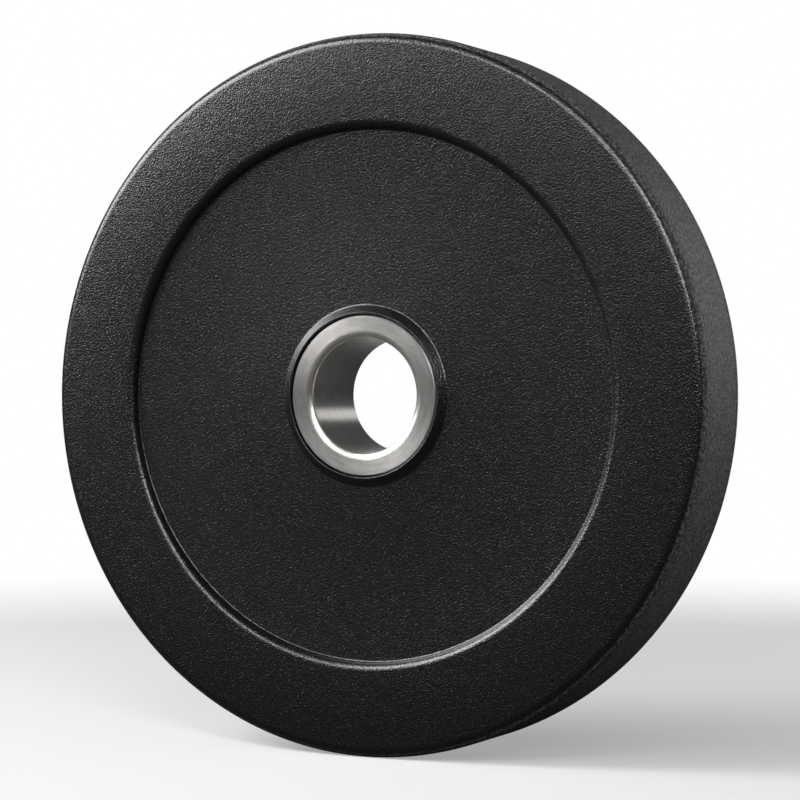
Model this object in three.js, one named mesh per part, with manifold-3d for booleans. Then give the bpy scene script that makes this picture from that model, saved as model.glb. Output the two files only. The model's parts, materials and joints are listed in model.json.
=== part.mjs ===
// A small bumper plate for a 50 mm barbell sleeve: a moulded rubber disc round a steel hub.
// Lengths are in millimetres. The bore runs along Y, the front face looks towards -Y, and the
// origin is the middle of the bore.
import * as THREE from "three";
import { mergeVertices } from "three/addons/utils/BufferGeometryUtils.js";
import Module from "manifold-3d";

const wasm = await Module();
wasm.setup();

// Rubber disc. rimWidth and the collar are measured to the sharp corners that the rounds replace.
// The collar is a narrow lip beside the hub that flares out and down to the floor of the recess.
const plateDiameter = 316;
const rimThickness = 45;
const rimWidth = 40.6;
const rimEdgeRadius = 5;
const recessDepth = 4;
const recessDraft = 1;
const recessEdgeRadius = 3.8;
const recessFootRadius = 1;
const collarLipWidth = 0.8;
const collarHeight = 2.9;
const collarFlare = 3.2;
const collarEdgeRadius = 0.35;
const collarFootRadius = 1.5;
const grooveWidth = 0.7;
const grooveDepth = 3.5;

// Steel hub
const boreDiameter = 50.6;
const hubWall = 9.7;
const hubInset = 1.6;
const mouthWidth = 3.2;
const mouthDepth = 1.2;
const mouthEdgeRadius = 1.8;
const hubEdgeChamfer = 0.4;
const shoulderStep = 3;
const shoulderLength = 7;

// Steel anchor plate and its weld, buried in the rubber
const anchorReach = 27;
const anchorThickness = 5;
const anchorHoleCount = 8;
const anchorHoleDiameter = 13;
const weldLeg = 4;
const weldCrown = 0.6;

// Gap between a piece and its neighbour, and how far a plug or a drill runs past a face
const clearance = 0.3;
const overrun = 1;

// Flats round each ring and hole, and along each rounded corner
const ringSegments = 80;
const holeSegments = 20;
const wideRoundSteps = 5;
const lipRoundSteps = 4;
const roundSteps = 3;
const smallRoundSteps = 2;

const plateRadius = plateDiameter / 2;
const boreRadius = boreDiameter / 2;
const hubRadius = boreRadius + hubWall;
const anchorRadius = hubRadius + anchorReach;
const plugHoleRadius = anchorHoleDiameter / 2;

const rimFaceY = rimThickness / 2;
const floorY = rimFaceY - recessDepth;
const hubFaceY = rimFaceY - hubInset;
const anchorFaceY = anchorThickness / 2;
const shoulderY = anchorFaceY + clearance;

// A closed outline in (radius, y). Each corner is [radius, y] for a sharp one, or
// [radius, y, round, steps] for one that an arc of that radius rounds off.
function roundedOutline(corners) {
  const outline = [];
  corners.forEach(([radius, y, round, steps], index) => {
    const corner = new THREE.Vector2(radius, y);
    if (!round) {
      outline.push(corner);
      return;
    }
    const before = corners.at(index - 1);
    const after = corners[(index + 1) % corners.length];
    const toBefore = new THREE.Vector2(before[0], before[1]).sub(corner).normalize();
    const toAfter = new THREE.Vector2(after[0], after[1]).sub(corner).normalize();
    const halfAngle = Math.acos(toBefore.dot(toAfter)) / 2;
    const bisector = toBefore.clone().add(toAfter).normalize();
    const centre = corner.clone().addScaledVector(bisector, round / Math.sin(halfAngle));
    const start = corner.clone().addScaledVector(toBefore, round / Math.tan(halfAngle));
    const end = corner.clone().addScaledVector(toAfter, round / Math.tan(halfAngle));
    const startAngle = start.clone().sub(centre).angle();
    const endAngle = end.clone().sub(centre).angle();
    const sweep = Math.atan2(Math.sin(endAngle - startAngle), Math.cos(endAngle - startAngle));
    for (let step = 0; step <= steps; step += 1) {
      const angle = startAngle + (sweep * step) / steps;
      const spoke = new THREE.Vector2(Math.cos(angle), Math.sin(angle));
      outline.push(centre.clone().addScaledVector(spoke, round));
    }
  });
  outline.push(outline[0].clone());
  return outline;
}

// The same corners on the back half, in the order that carries the outline on
function mirrored(corners) {
  return corners.map(([radius, y, ...rest]) => [radius, -y, ...rest]).reverse();
}

function ring(corners) {
  return new THREE.LatheGeometry(roundedOutline(corners), ringSegments);
}

function solidOf(geometry) {
  const bare = geometry.clone();
  bare.deleteAttribute("normal");
  bare.deleteAttribute("uv");
  const merged = mergeVertices(bare);
  const vertProperties = new Float32Array(merged.attributes.position.array);
  const triVerts = new Uint32Array(merged.index.array);
  return new wasm.Manifold(new wasm.Mesh({ numProp: 3, vertProperties, triVerts }));
}

function geometryOf(solid) {
  const mesh = solid.getMesh();
  const geometry = new THREE.BufferGeometry();
  geometry.setAttribute("position", new THREE.BufferAttribute(mesh.vertProperties, 3));
  geometry.setIndex(new THREE.BufferAttribute(mesh.triVerts, 1));
  geometry.computeVertexNormals();
  return geometry;
}

// One drill or plug for each hole of the anchor plate, on a circle halfway between the weld and
// the plate's edge
function rodsThroughAnchor(radius) {
  const circleRadius = (hubRadius + weldLeg + anchorRadius) / 2;
  const length = anchorThickness + 2 * (clearance + overrun);
  const rod = new THREE.CylinderGeometry(radius, radius, length, holeSegments);
  return Array.from({ length: anchorHoleCount }, (_, index) => {
    const angle = (index / anchorHoleCount) * 2 * Math.PI;
    const x = circleRadius * Math.cos(angle);
    const z = circleRadius * Math.sin(angle);
    return solidOf(rod.clone().translate(x, 0, z));
  });
}

// Rubber body: rim, recess and collar on both faces, with a narrow open groove between the collar
// and the hub. Inside are the bore for the hub and the cavity that the anchor plate, its weld and
// the hub's shoulder fill. A plug of rubber passes through each hole of the anchor plate and ties
// the two halves together.
function rubberBody() {
  const rimCornerRadius = plateRadius - rimWidth;
  const wallRadius = hubRadius + clearance;
  const grooveRadius = hubRadius + grooveWidth;
  const lipRadius = grooveRadius + collarLipWidth;
  const collarY = floorY + collarHeight;
  const grooveY = collarY - grooveDepth;
  const face = [
    [plateRadius, rimFaceY, rimEdgeRadius, wideRoundSteps],
    [rimCornerRadius, rimFaceY, recessEdgeRadius, lipRoundSteps],
    [rimCornerRadius - recessDraft, floorY, recessFootRadius, roundSteps],
    [lipRadius + collarFlare, floorY, collarFootRadius, smallRoundSteps],
    [lipRadius, collarY, collarEdgeRadius, smallRoundSteps],
    [grooveRadius, collarY, collarEdgeRadius, smallRoundSteps],
    [grooveRadius, grooveY],
    [wallRadius, grooveY],
  ];
  const slotY = anchorFaceY + clearance;
  const slotRadius = anchorRadius + clearance;
  const pocketY = shoulderY + shoulderLength + clearance;
  const pocketRadius = wallRadius + shoulderStep;
  const weldReach = weldLeg + Math.SQRT2 * (clearance + weldCrown);
  const cavity = [
    [wallRadius, pocketY],
    [pocketRadius, pocketY],
    [pocketRadius, slotY],
    [slotRadius, slotY],
    [slotRadius, -slotY],
    [wallRadius + weldReach, -slotY],
    [wallRadius, -slotY - weldReach],
  ];
  const body = solidOf(ring([...face, ...cavity, ...mirrored(face)]));
  const plugs = rodsThroughAnchor(plugHoleRadius - clearance);
  return geometryOf(plugs.reduce((joined, plug) => joined.add(plug), body));
}

// Hub: a thick turned sleeve. Each end has a shallow tapered mouth that is rounded into the bore.
// The anchor plate slides on from the front and stops at the shoulder.
function hubSleeve() {
  const faceRadius = hubRadius - hubEdgeChamfer;
  const chamferY = hubFaceY - hubEdgeChamfer;
  const shoulderRadius = hubRadius + shoulderStep;
  const mouthRadius = boreRadius + mouthWidth;
  const mouthY = hubFaceY - mouthDepth;
  return ring([
    [hubRadius, -chamferY],
    [hubRadius, shoulderY],
    [shoulderRadius, shoulderY],
    [shoulderRadius, shoulderY + shoulderLength],
    [hubRadius, shoulderY + shoulderLength],
    [hubRadius, chamferY],
    [faceRadius, hubFaceY],
    [mouthRadius, hubFaceY],
    [boreRadius, mouthY, mouthEdgeRadius, roundSteps],
    [boreRadius, -mouthY, mouthEdgeRadius, roundSteps],
    [mouthRadius, -hubFaceY],
    [faceRadius, -hubFaceY],
  ]);
}

// Anchor plate: a flat steel ring, drilled for the rubber plugs
function anchorPlate() {
  const innerRadius = hubRadius + clearance;
  const blank = ring([
    [anchorRadius, -anchorFaceY],
    [anchorRadius, anchorFaceY],
    [innerRadius, anchorFaceY],
    [innerRadius, -anchorFaceY],
  ]);
  const drills = rodsThroughAnchor(plugHoleRadius);
  return geometryOf(drills.reduce((left, drill) => left.subtract(drill), solidOf(blank)));
}

// Weld: a crowned fillet all round the corner in front of the anchor plate
function weldBead() {
  const rootRadius = hubRadius + clearance;
  const rootY = -anchorFaceY - clearance;
  const crown = weldLeg / 2 + weldCrown * Math.SQRT1_2;
  return ring([
    [rootRadius, rootY - weldLeg],
    [rootRadius + crown, rootY - crown],
    [rootRadius + weldLeg, rootY],
    [rootRadius, rootY],
  ]);
}

const rubber = new THREE.MeshStandardMaterial({ color: 0x262627, roughness: 0.7, metalness: 0 });
const stainless = new THREE.MeshStandardMaterial({ color: 0xc4c0ba, roughness: 0.3, metalness: 1 });
const mildSteel = new THREE.MeshStandardMaterial({ color: 0x5f6265, roughness: 0.6, metalness: 1 });
const weldMetal = new THREE.MeshStandardMaterial({ color: 0x8b857c, roughness: 0.5, metalness: 1 });

const pieces = [
  ["rubber_body", rubberBody(), rubber],
  ["hub_sleeve", hubSleeve(), stainless],
  ["anchor_plate", anchorPlate(), mildSteel],
  ["weld_bead", weldBead(), weldMetal],
];

const bumperPlate = new THREE.Group();
pieces.forEach(([name, geometry, material]) => {
  const mesh = new THREE.Mesh(geometry, material);
  mesh.name = name;
  bumperPlate.add(mesh);
});

export default bumperPlate;
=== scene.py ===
import json
import math

import bmesh
import bpy
from mathutils import Matrix, Vector


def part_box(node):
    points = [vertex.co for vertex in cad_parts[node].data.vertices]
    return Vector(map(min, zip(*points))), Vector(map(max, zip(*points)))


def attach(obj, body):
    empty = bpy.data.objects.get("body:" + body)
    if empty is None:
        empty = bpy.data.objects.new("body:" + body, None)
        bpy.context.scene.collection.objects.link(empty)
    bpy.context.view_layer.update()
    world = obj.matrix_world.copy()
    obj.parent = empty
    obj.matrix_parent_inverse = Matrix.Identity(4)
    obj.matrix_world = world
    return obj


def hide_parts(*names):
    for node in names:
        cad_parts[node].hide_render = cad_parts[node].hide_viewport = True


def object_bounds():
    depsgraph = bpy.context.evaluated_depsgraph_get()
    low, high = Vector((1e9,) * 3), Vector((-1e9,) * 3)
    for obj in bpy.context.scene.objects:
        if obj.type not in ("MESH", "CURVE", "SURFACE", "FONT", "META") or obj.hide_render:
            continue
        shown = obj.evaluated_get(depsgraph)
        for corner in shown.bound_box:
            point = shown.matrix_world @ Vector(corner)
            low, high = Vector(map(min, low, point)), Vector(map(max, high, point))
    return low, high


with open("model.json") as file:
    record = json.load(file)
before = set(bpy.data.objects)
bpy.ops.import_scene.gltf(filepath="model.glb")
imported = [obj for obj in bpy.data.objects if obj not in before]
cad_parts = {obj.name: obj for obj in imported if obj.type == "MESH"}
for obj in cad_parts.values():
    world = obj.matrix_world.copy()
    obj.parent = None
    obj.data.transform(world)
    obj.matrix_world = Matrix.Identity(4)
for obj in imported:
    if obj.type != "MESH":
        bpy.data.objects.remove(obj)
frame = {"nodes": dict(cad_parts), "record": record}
cad_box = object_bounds()


# Hub sleeve. A thick stainless sleeve that slides on the bar, turned on a lathe: its faces and
# mouths carry fine rings. The rubber is moulded round it, and a shoulder in the middle stops the
# anchor plate.

mounts = {mount["name"]: mount for mount in frame["record"]["mounts"]}
bore_radius = mounts["bar_bore"]["dims"]["r_mm"] / 1000
hub_wall = 0.0097
hub_radius = bore_radius + hub_wall
hub_face_y = mounts["hub_back_face"]["pos_m"][1]
hub_edge_chamfer = 0.0004
mouth_width = 0.0018
mouth_depth = 0.00125
mouth_outer_round = 0.0045
mouth_inner_round = 0.00144
mouth_round_steps = 10
shoulder_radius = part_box("hub_sleeve")[1].x
shoulder_y = 0.0028
shoulder_length = 0.007
hub_segments = 288
hub_crease_angle = math.radians(20)


def rounded_outline(corners):
    """Points of a closed outline of (radius, y), with an arc where a corner gives a round and steps."""
    points = []
    for index, (radius, y, *rounding) in enumerate(corners):
        corner = Vector((radius, y))
        if not rounding:
            points.append(corner)
            continue
        round_radius, steps = rounding
        to_before = (Vector(corners[index - 1][:2]) - corner).normalized()
        to_after = (Vector(corners[(index + 1) % len(corners)][:2]) - corner).normalized()
        half_angle = math.acos(to_before.dot(to_after)) / 2
        centre = corner + (to_before + to_after).normalized() * round_radius / math.sin(half_angle)
        start = corner + to_before * round_radius / math.tan(half_angle) - centre
        end = corner + to_after * round_radius / math.tan(half_angle) - centre
        start_angle = math.atan2(start.y, start.x)
        turn = math.atan2(end.y, end.x) - start_angle
        sweep = math.atan2(math.sin(turn), math.cos(turn))
        for step in range(steps + 1):
            angle = start_angle + sweep * step / steps
            points.append(centre + round_radius * Vector((math.cos(angle), math.sin(angle))))
    return points


def mirrored(corners):
    """The same corners on the other half, in the order that carries the outline on."""
    return [(radius, -y, *rounding) for radius, y, *rounding in reversed(corners)]


def turned(name, outline, segments, crease_angle):
    """A mesh turned about the bore's axis from a closed outline, smooth except at its creases."""
    mesh = bpy.data.meshes.new(name)
    turned_mesh = bmesh.new()
    rings = []
    for radius, y in outline:
        angles = [2 * math.pi * step / segments for step in range(segments)]
        ring = [
            turned_mesh.verts.new((radius * math.cos(a), y, radius * math.sin(a))) for a in angles
        ]
        rings.append(ring)
    for ring, next_ring in zip(rings, rings[1:] + rings[:1]):
        for step in range(segments):
            after = (step + 1) % segments
            turned_mesh.faces.new((ring[step], ring[after], next_ring[after], next_ring[step]))
    bmesh.ops.recalc_face_normals(turned_mesh, faces=turned_mesh.faces)
    turned_mesh.to_mesh(mesh)
    turned_mesh.free()
    mesh.shade_smooth()
    mesh.set_sharp_from_angle(angle=crease_angle)
    piece = bpy.data.objects.new(name, mesh)
    bpy.context.scene.collection.objects.link(piece)
    return piece


hub_half = [
    (hub_radius, hub_face_y - hub_edge_chamfer),
    (hub_radius - hub_edge_chamfer, hub_face_y),
    (bore_radius + mouth_width, hub_face_y, mouth_outer_round, mouth_round_steps),
    (bore_radius, hub_face_y - mouth_depth, mouth_inner_round, mouth_round_steps),
]
shoulder = [
    (hub_radius, shoulder_y),
    (shoulder_radius, shoulder_y),
    (shoulder_radius, shoulder_y + shoulder_length),
    (hub_radius, shoulder_y + shoulder_length),
]
hub_outline = rounded_outline(hub_half + mirrored(hub_half) + shoulder)
turned_hub = turned("turned_hub", hub_outline, hub_segments, hub_crease_angle)


def new_finish(name):
    """An empty material with its shader. The shader's own values are set on its sockets."""
    material = bpy.data.materials.new(name)
    material.use_nodes = True
    tree = material.node_tree
    return material, tree, tree.nodes["Principled BSDF"]


def add(tree, kind, sockets=None, **settings):
    """A node with its settings, and its sockets set to values or joined to other outputs."""
    node = tree.nodes.new(kind)
    for key, value in settings.items():
        setattr(node, key, value)
    for key, value in (sockets or {}).items():
        if isinstance(value, bpy.types.NodeSocket):
            tree.links.new(value, node.inputs[key])
        else:
            node.inputs[key].default_value = value
    return node


def math_node(tree, operation, first, second=0.0):
    """The output of a Math node."""
    return add(tree, "ShaderNodeMath", {0: first, 1: second}, operation=operation).outputs[0]


def weighed_sum(tree, first, second, first_weight, second_weight):
    """The sum of two values, each times its weight."""
    first_part = math_node(tree, "MULTIPLY", first, first_weight)
    second_part = math_node(tree, "MULTIPLY", second, second_weight)
    return math_node(tree, "ADD", first_part, second_part)


def remap(tree, value, from_range, to_range=(0.0, 1.0)):
    """The output of a Map Range node, smooth at both ends."""
    sockets = {
        "Value": value,
        "From Min": from_range[0],
        "From Max": from_range[1],
        "To Min": to_range[0],
        "To Max": to_range[1],
    }
    return add(tree, "ShaderNodeMapRange", sockets, interpolation_type="SMOOTHSTEP").outputs["Result"]


def noise(tree, place, scale, detail):
    """The output of a noise of so many lumps in a metre."""
    sockets = {"Vector": place, "Scale": scale, "Detail": detail}
    return add(tree, "ShaderNodeTexNoise", sockets).outputs["Fac"]


def mix_colours(tree, share, first, second):
    """The output of a colour mix."""
    node = add(tree, "ShaderNodeMix", {"Factor": share, "A": first, "B": second}, data_type="RGBA")
    return node.outputs["Result"]


def bump(tree, height, depth, strength=1.0):
    """The output of a Bump node, for a height from 0 to 1 that stands so many metres high."""
    sockets = {"Height": height, "Strength": strength, "Distance": depth}
    return add(tree, "ShaderNodeBump", sockets).outputs[0]


def round_the_bore(tree):
    """Distance from the bore's axis, depth along it, and the cosine and sine of the angle round it."""
    parts = add(tree, "ShaderNodeSeparateXYZ", {0: add(tree, "ShaderNodeTexCoord").outputs["Object"]})
    flat = add(tree, "ShaderNodeCombineXYZ", {"X": parts.outputs["X"], "Z": parts.outputs["Z"]})
    length = add(tree, "ShaderNodeVectorMath", {0: flat.outputs[0]}, operation="LENGTH")
    radius = length.outputs["Value"]
    cosine = math_node(tree, "DIVIDE", parts.outputs["X"], radius)
    sine = math_node(tree, "DIVIDE", parts.outputs["Z"], radius)
    return radius, parts.outputs["Y"], cosine, sine


def turning_marks(tree, ring_width, mark_length_share, detail):
    """Noise drawn out along rings round the bore, as a lathe tool leaves it."""
    radius, depth, cosine, sine = round_the_bore(tree)
    across = math_node(tree, "DIVIDE", radius, ring_width)
    along = math_node(tree, "DIVIDE", depth, ring_width)
    turn = math_node(tree, "DIVIDE", cosine, mark_length_share)
    other_turn = math_node(tree, "DIVIDE", sine, mark_length_share)
    place = add(tree, "ShaderNodeCombineXYZ", {"X": across, "Y": along, "Z": turn}).outputs[0]
    sockets = {"Vector": place, "W": other_turn, "Scale": 1.0, "Detail": detail, "Roughness": 0.6}
    return add(tree, "ShaderNodeTexNoise", sockets, noise_dimensions="4D").outputs["Fac"]


def stainless_finish():
    """Turned stainless steel: fine and broad lathe rings over a slight mottle."""
    dull_steel = (0.76, 0.735, 0.705, 1)
    bright_steel = (0.97, 0.955, 0.93, 1)
    mottle_share = 0.3
    fine_share = 0.5
    ring_height = 0.000002

    material, tree, shader = new_finish("turned_stainless")
    fine_rings = turning_marks(tree, ring_width=0.00022, mark_length_share=0.12, detail=2.0)
    broad_rings = turning_marks(tree, ring_width=0.0011, mark_length_share=0.35, detail=3.0)
    rings = weighed_sum(tree, fine_rings, broad_rings, fine_share, 1.0 - fine_share)
    place = add(tree, "ShaderNodeTexCoord").outputs["Object"]
    mottle = remap(tree, noise(tree, place, scale=240.0, detail=4.0), from_range=(0.3, 0.7))
    bright_rings = remap(tree, rings, from_range=(0.35, 0.65))
    brightness = weighed_sum(tree, mottle, bright_rings, mottle_share, 1.0 - mottle_share)
    colour = mix_colours(tree, brightness, dull_steel, bright_steel)
    tree.links.new(colour, shader.inputs["Base Color"])
    roughness = remap(tree, rings, from_range=(0.3, 0.7), to_range=(0.29, 0.34))
    tree.links.new(roughness, shader.inputs["Roughness"])
    shader.inputs["Metallic"].default_value = 1.0
    shader.inputs["Anisotropic"].default_value = 0.6
    shader.inputs["Anisotropic Rotation"].default_value = 0.25
    tangent = add(tree, "ShaderNodeTangent", direction_type="RADIAL", axis="Y").outputs[0]
    tree.links.new(tangent, shader.inputs["Tangent"])
    tree.links.new(bump(tree, rings, ring_height), shader.inputs["Normal"])
    return material


turned_hub.data.materials.append(stainless_finish())
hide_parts("hub_sleeve")
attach(turned_hub, "root")


# Anchor plate. A flat ring of hot-rolled mild steel, drilled with eight holes and slid on to the
# hub's shoulder. It lies inside the rubber and keeps the hub from being pushed out.


def mill_scale_finish():
    """Hot-rolled steel under mill scale: blue-grey, with paler and rougher patches."""
    scale_blue = (0.085, 0.09, 0.10, 1)
    scale_grey = (0.16, 0.155, 0.15, 1)
    scale_depth = 0.0002

    material, tree, shader = new_finish("mill_scale_steel")
    place = add(tree, "ShaderNodeTexCoord").outputs["Object"]
    patches = noise(tree, place, scale=60.0, detail=6.0)
    tone = remap(tree, patches, from_range=(0.35, 0.65))
    tree.links.new(mix_colours(tree, tone, scale_blue, scale_grey), shader.inputs["Base Color"])
    roughness = remap(tree, patches, from_range=(0.3, 0.7), to_range=(0.45, 0.7))
    tree.links.new(roughness, shader.inputs["Roughness"])
    shader.inputs["Metallic"].default_value = 1.0
    tree.links.new(bump(tree, patches, scale_depth, strength=0.5), shader.inputs["Normal"])
    return material


frame["nodes"]["anchor_plate"].data.materials.clear()
frame["nodes"]["anchor_plate"].data.materials.append(mill_scale_finish())


# Weld bead. A fillet of weld metal laid in one run round the hub, in front of the anchor plate.
# Its surface has the fine ripples of the run and a straw to blue heat tint.


def weld_finish():
    """Weld metal: a ripple for each small step of the torch, tinted by the heat."""
    heat_blue = (0.21, 0.22, 0.27, 1)
    heat_straw = (0.34, 0.28, 0.20, 1)
    ripples_in_a_radian = 150.0
    ripple_height = 0.0003

    material, tree, shader = new_finish("weld_run")
    place = add(tree, "ShaderNodeTexCoord").outputs["Object"]
    heat = noise(tree, place, scale=90.0, detail=3.0)
    tree.links.new(mix_colours(tree, heat, heat_blue, heat_straw), shader.inputs["Base Color"])
    shader.inputs["Metallic"].default_value = 1.0
    shader.inputs["Roughness"].default_value = 0.42
    cosine, sine = round_the_bore(tree)[2:]
    angle = math_node(tree, "ARCTAN2", sine, cosine)
    ripple = math_node(tree, "SINE", math_node(tree, "MULTIPLY", angle, ripples_in_a_radian))
    tree.links.new(bump(tree, ripple, ripple_height, strength=0.6), shader.inputs["Normal"])
    return material


frame["nodes"]["weld_bead"].data.materials.clear()
frame["nodes"]["weld_bead"].data.materials.append(weld_finish())


# Rubber body. One moulding of dense black rubber, cast round the welded insert in a two-part
# mould. Both faces have a raised rim, a recess and a collar whose narrow lip flares down to the
# floor of the recess. Plugs of rubber fill the holes of the anchor plate.

plate_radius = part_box("rubber_body")[1].z
rim_face_y = mounts["rim_back_face"]["pos_m"][1]
rim_edge_round = 0.005
rim_edge_steps = 14
rim_width = 0.0406
recess_radius = plate_radius - rim_width
recess_draft = 0.001
recess_depth = 0.004
recess_edge_round = 0.0038
recess_edge_steps = 10
recess_foot_round = 0.0010
recess_foot_steps = 6
floor_y = rim_face_y - recess_depth
groove_width = 0.0007
groove_depth = 0.0035
groove_radius = hub_radius + groove_width
collar_height = 0.0029
collar_y = floor_y + collar_height
collar_lip_width = 0.0008
collar_flare = 0.0032
collar_foot_round = 0.0015
collar_foot_steps = 7
collar_edge_round = 0.00035
collar_edge_steps = 5
lip_radius = groove_radius + collar_lip_width
groove_floor_y = collar_y - groove_depth
piece_gap = 0.0003
hub_hole_radius = hub_radius + piece_gap
anchor_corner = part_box("anchor_plate")[1]
slot_y = anchor_corner.y + piece_gap
slot_radius = anchor_corner.z + piece_gap
pocket_y = shoulder_y + shoulder_length + piece_gap
pocket_radius = shoulder_radius + piece_gap
weld_leg = 0.004
weld_crown = 0.0006
weld_reach = weld_leg + math.sqrt(2) * (piece_gap + weld_crown)
parting_y = 0.0161
parting_width = 0.0005
parting_depth = 0.0003
rubber_segments = 384
rubber_crease_angle = math.radians(35)

rubber_face = [
    (plate_radius, rim_face_y, rim_edge_round, rim_edge_steps),
    (recess_radius, rim_face_y, recess_edge_round, recess_edge_steps),
    (recess_radius - recess_draft, floor_y, recess_foot_round, recess_foot_steps),
    (lip_radius + collar_flare, floor_y, collar_foot_round, collar_foot_steps),
    (lip_radius, collar_y, collar_edge_round, collar_edge_steps),
    (groove_radius, collar_y, collar_edge_round, collar_edge_steps),
    (groove_radius, groove_floor_y),
    (hub_hole_radius, groove_floor_y),
]
insert_cavity = [
    (hub_hole_radius, pocket_y),
    (pocket_radius, pocket_y),
    (pocket_radius, slot_y),
    (slot_radius, slot_y),
    (slot_radius, -slot_y),
    (hub_hole_radius + weld_reach, -slot_y),
    (hub_hole_radius, -slot_y - weld_reach),
]
parting_line = [
    (plate_radius, parting_y - parting_width / 2),
    (plate_radius - parting_depth, parting_y),
    (plate_radius, parting_y + parting_width / 2),
]
rubber_corners = rubber_face + insert_cavity + mirrored(rubber_face)
rubber_outline = rounded_outline(rubber_corners + mirrored(parting_line) + parting_line)
moulded_body = turned("moulded_body", rubber_outline, rubber_segments, rubber_crease_angle)

plug_count = 8
plug_radius = 0.0062
plug_circle_radius = (hub_radius + weld_leg + anchor_corner.z) / 2
plug_overrun = 0.001
plug_length = 2 * (slot_y + plug_overrun)
plug_segments = 32


def rubber_plugs():
    """One closed rod of rubber for each hole of the anchor plate."""
    mesh = bpy.data.meshes.new("rubber_plugs")
    rods = bmesh.new()
    for index in range(plug_count):
        angle = 2 * math.pi * index / plug_count
        centre = Vector((plug_circle_radius * math.cos(angle), 0, plug_circle_radius * math.sin(angle)))
        bmesh.ops.create_cone(
            rods,
            cap_ends=True,
            segments=plug_segments,
            radius1=plug_radius,
            radius2=plug_radius,
            depth=plug_length,
            matrix=Matrix.Translation(centre) @ Matrix.Rotation(math.pi / 2, 4, "X"),
        )
    rods.to_mesh(mesh)
    rods.free()
    piece = bpy.data.objects.new("rubber_plugs", mesh)
    bpy.context.scene.collection.objects.link(piece)
    return piece


plugs = rubber_plugs()
join = moulded_body.modifiers.new("join", "BOOLEAN")
join.operation = "UNION"
join.object = plugs
joined_mesh = bpy.data.meshes.new_from_object(
    moulded_body.evaluated_get(bpy.context.evaluated_depsgraph_get())
)
moulded_body.modifiers.clear()
moulded_body.data = joined_mesh
bpy.data.objects.remove(plugs)


def rubber_finish():
    """Rubber with the mould's fine grain on its faces, the grain's valleys painted darker as shade, and a
    paler, speckled wall round the rim that is partly duller rubber and partly painted light.
    """
    # The grain's valleys are painted much darker than its tops: partly the grain's own tone, partly painted
    # shade in its hollows.
    grain_valley_painted_shade = (0.0010, 0.0010, 0.0011, 1)
    grain_top = (0.0070, 0.0070, 0.0072, 1)
    # The wall's colours are far paler than the faces'. This is partly a duller, dusty rubber and partly
    # painted light that stands for the light falling on the wall.
    wall_valley_and_painted_light = (0.020, 0.0197, 0.019, 1)
    wall_top_and_painted_light = (0.140, 0.138, 0.134, 1)
    grain_turn = (0.6, 0.5, 0.9)
    grain_depth = 0.00023
    worn_grain_depth = 0.00007
    speck_height = 0.9
    scuff_height = 0.2
    # The paler wall colour reaches onto the outer part of the rounded edge as painted light, where that edge
    # is lit.
    wall_starts = plate_radius - 0.0022
    wall_is_full = plate_radius - 0.0010
    face_roughness = 0.30
    wall_roughness = 0.68

    material, tree, shader = new_finish("grained_rubber")
    place = add(tree, "ShaderNodeTexCoord").outputs["Object"]
    turn = {"Vector": place, "Rotation": grain_turn}
    turned_place = add(tree, "ShaderNodeVectorRotate", turn, rotation_type="EULER_XYZ").outputs[0]
    radius = round_the_bore(tree)[0]
    on_wall = remap(tree, radius, from_range=(wall_starts, wall_is_full))
    on_face = math_node(tree, "SUBTRACT", 1.0, on_wall)
    grain = noise(tree, turned_place, scale=1500.0, detail=0.0)
    specks = noise(tree, turned_place, scale=850.0, detail=2.0)
    scuffs = turning_marks(tree, ring_width=0.0006, mark_length_share=0.05, detail=2.0)
    wall_height = weighed_sum(tree, specks, scuffs, speck_height, scuff_height)
    height = weighed_sum(tree, grain, wall_height, on_face, on_wall)
    tree.links.new(bump(tree, height, grain_depth), shader.inputs["Normal"])
    tree.links.new(bump(tree, height, worn_grain_depth), shader.inputs["Coat Normal"])

    # Painted shade: the grain's tops keep the paler colour and its valleys take the painted-shade colour.
    grain_tops = remap(tree, grain, from_range=(0.4, 0.75))
    grain_colour_and_painted_shade = mix_colours(tree, grain_tops, grain_valley_painted_shade, grain_top)
    # Wall colour with specks: partly duller rubber, partly painted light on the wall and the edge's outer
    # part.
    speck_tops = remap(tree, specks, from_range=(0.35, 0.7))
    wall_colour_and_painted_light = mix_colours(tree, speck_tops, wall_valley_and_painted_light, wall_top_and_painted_light)
    tree.links.new(mix_colours(tree, on_wall, grain_colour_and_painted_shade, wall_colour_and_painted_light), shader.inputs["Base Color"])
    roughness = remap(tree, on_wall, from_range=(0.0, 1.0), to_range=(face_roughness, wall_roughness))
    tree.links.new(roughness, shader.inputs["Roughness"])
    shader.inputs["IOR"].default_value = 1.40
    tree.links.new(on_face, shader.inputs["Coat Weight"])
    shader.inputs["Coat Roughness"].default_value = 0.2
    shader.inputs["Coat IOR"].default_value = 1.45
    return material


moulded_body.data.materials.clear()
moulded_body.data.materials.append(rubber_finish())
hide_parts("rubber_body")
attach(moulded_body, "root")


# Floor. A plain pale sheet that the plate stands on. It keeps the plate's shadow and fades to
# white away from it.

floor_reach = 4.0
floor_corners = [
    (-floor_reach, -floor_reach, 0),
    (floor_reach, -floor_reach, 0),
    (floor_reach, floor_reach, 0),
    (-floor_reach, floor_reach, 0),
]
floor_mesh = bpy.data.meshes.new("floor")
floor_mesh.from_pydata(floor_corners, [], [(0, 1, 2, 3)])
floor = bpy.data.objects.new("floor", floor_mesh)
floor.location.z = cad_box[0].z
bpy.context.scene.collection.objects.link(floor)


def reflected_or_through(tree, ray):
    """1 for rays that metal reflects or that pass through glass."""
    return math_node(tree, "MAXIMUM", ray.outputs["Is Glossy Ray"], ray.outputs["Is Transmission Ray"])


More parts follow.
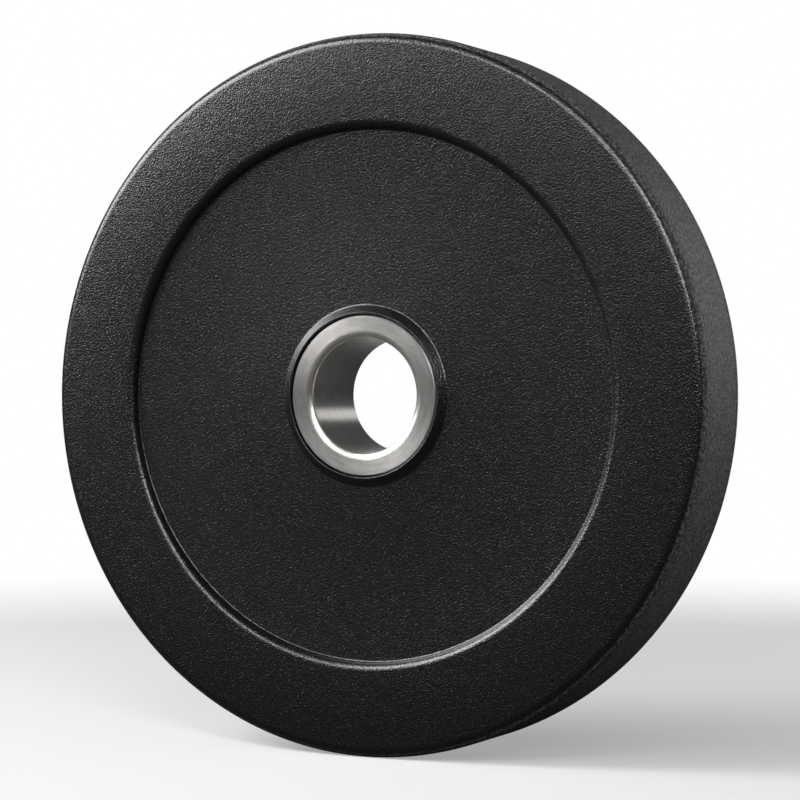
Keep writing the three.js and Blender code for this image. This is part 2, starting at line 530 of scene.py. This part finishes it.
def floor_finish():
    """Pale and matt to the camera, darker as a light source, and white towards the backdrop."""
    seen_colour = (0.85, 0.85, 0.85, 1)
    lighting_colour = (0.06, 0.06, 0.06, 1)
    least_white_share = 0.35
    fade_range = (0.3, 1.1)
    backdrop_direction = (-0.443, 0.896, 0)
    backdrop_range = (0.95, 0.978)

    material = bpy.data.materials.new("pale_floor")
    material.use_nodes = True
    tree = material.node_tree
    tree.nodes.clear()
    place = add(tree, "ShaderNodeTexCoord").outputs["Object"]
    distance = add(tree, "ShaderNodeVectorMath", {0: place}, operation="LENGTH").outputs["Value"]
    outward = add(tree, "ShaderNodeVectorMath", {0: place}, operation="NORMALIZE").outputs[0]
    towards = {0: outward, 1: backdrop_direction}
    behind = add(tree, "ShaderNodeVectorMath", towards, operation="DOT_PRODUCT").outputs["Value"]
    behind_plate = remap(tree, behind, from_range=backdrop_range)
    ray = add(tree, "ShaderNodeLightPath")
    camera_ray = ray.outputs["Is Camera Ray"]
    shows_backdrop = math_node(tree, "MULTIPLY", reflected_or_through(tree, ray), behind_plate)
    sees_white = math_node(tree, "MAXIMUM", camera_ray, shows_backdrop)
    fade = math_node(tree, "MULTIPLY", remap(tree, distance, from_range=fade_range), sees_white)
    lift = math_node(tree, "MULTIPLY", camera_ray, least_white_share)
    white_share = math_node(tree, "MAXIMUM", fade, lift)
    colour = mix_colours(tree, camera_ray, lighting_colour, seen_colour)
    pale = add(tree, "ShaderNodeBsdfDiffuse", {"Color": colour})
    white = add(tree, "ShaderNodeEmission", {"Color": (1, 1, 1, 1), "Strength": 1.0})
    shaders = {0: white_share, 1: pale.outputs[0], 2: white.outputs[0]}
    mix = add(tree, "ShaderNodeMixShader", shaders)
    output = add(tree, "ShaderNodeOutputMaterial")
    tree.links.new(mix.outputs[0], output.inputs["Surface"])
    return material


floor_mesh.materials.append(floor_finish())


# Camera. It looks at the front face from the right, almost level with the bore, through a long
# lens. The plate stands a little left of the middle of its view.

camera_azimuth = math.radians(26.33)
camera_elevation = math.radians(0.40)
camera_distance = 7.0 * plate_radius
camera_aside = 0.1072 * plate_radius
camera_lowered = 0.0121 * plate_radius
focal_length = 114.3
sensor_width = 36

back = Vector((
    math.sin(camera_azimuth) * math.cos(camera_elevation),
    -math.cos(camera_azimuth) * math.cos(camera_elevation),
    math.sin(camera_elevation),
))
right = Vector((math.cos(camera_azimuth), math.sin(camera_azimuth), 0))
up = back.cross(right)
camera = bpy.data.objects.new("camera", bpy.data.cameras.new("camera"))
camera.data.sensor_width = sensor_width
camera.data.lens = focal_length
front_centre = Vector((0, -rim_face_y, 0))
camera.matrix_world = Matrix.Translation(
    front_centre + back * camera_distance + right * camera_aside - up * camera_lowered
) @ Matrix((right, up, back)).transposed().to_4x4()
bpy.context.scene.collection.objects.link(camera)
bpy.context.scene.camera = camera


# Lights. Soft boxes on the left light the faces and the hub, and long ones high in front draw the
# lines along the rounded edges. Behind stand a faint one and one that lights the rubber alone. The
# room is dim, and white where the camera, metal or glass shows the background.


def soft_box(name, place, size, power, roll=0.0):
    """An area lamp that faces the middle of the plate. The camera does not see it."""
    light = bpy.data.objects.new(name, bpy.data.lights.new(name, "AREA"))
    light.data.shape = "RECTANGLE"
    light.data.size, light.data.size_y = size
    light.data.energy = power
    light.location = place
    light.rotation_euler = (-Vector(place)).to_track_quat("-Z", "Y").to_euler()
    light.rotation_euler.rotate_axis("Z", roll)
    light.visible_camera = False
    bpy.context.scene.collection.objects.link(light)
    return light


soft_box("key_light", place=(-1.27, -1.436, 0.56), size=(0.3, 0.3), power=3.0)
soft_box("left_light", place=(-1.29, -0.84, 0.93), size=(1.4, 0.9), power=37.0, roll=math.radians(40))
soft_box("top_light", place=(-0.246, -1.555, 0.873), size=(0.7, 0.28), power=6.5, roll=math.radians(-45))
soft_box("front_light", place=(0.72, -1.43, 0.80), size=(1.2, 0.22), power=14.5, roll=math.radians(-29))
soft_box("back_light", place=(0.62, 1.61, 0.50), size=(0.3, 0.3), power=0.6)
rear_light = soft_box("rear_light", place=(1.20, 1.25, 0.50), size=(1.2, 0.8), power=13.0)
rubber_only = bpy.data.collections.new("rubber_only")
rubber_only.objects.link(moulded_body)
rear_light.light_linking.receiver_collection = rubber_only

room_dimness = (0.03, 0.03, 0.03, 1)
backdrop_white = (1, 1, 1, 1)
backdrop_half_angle = math.radians(12)
backdrop_edge_angle = 1.5 * backdrop_half_angle
backdrop_edge = (math.cos(backdrop_edge_angle), math.cos(backdrop_half_angle))

room = bpy.data.worlds.new("room")
bpy.context.scene.world = room
room.use_nodes = True
room_tree = room.node_tree
towards_backdrop = {0: add(room_tree, "ShaderNodeTexCoord").outputs["Generated"], 1: -back}
nearness = add(room_tree, "ShaderNodeVectorMath", towards_backdrop, operation="DOT_PRODUCT").outputs["Value"]
in_backdrop = remap(room_tree, nearness, from_range=backdrop_edge)
room_ray = add(room_tree, "ShaderNodeLightPath")
shows_backdrop = math_node(room_tree, "MULTIPLY", reflected_or_through(room_tree, room_ray), in_backdrop)
shows_white = math_node(room_tree, "MAXIMUM", room_ray.outputs["Is Camera Ray"], shows_backdrop)
room_colour = mix_colours(room_tree, shows_white, room_dimness, backdrop_white)
room_tree.links.new(room_colour, room_tree.nodes["Background"].inputs["Color"])
bpy.context.scene.view_settings.view_transform = "Standard"
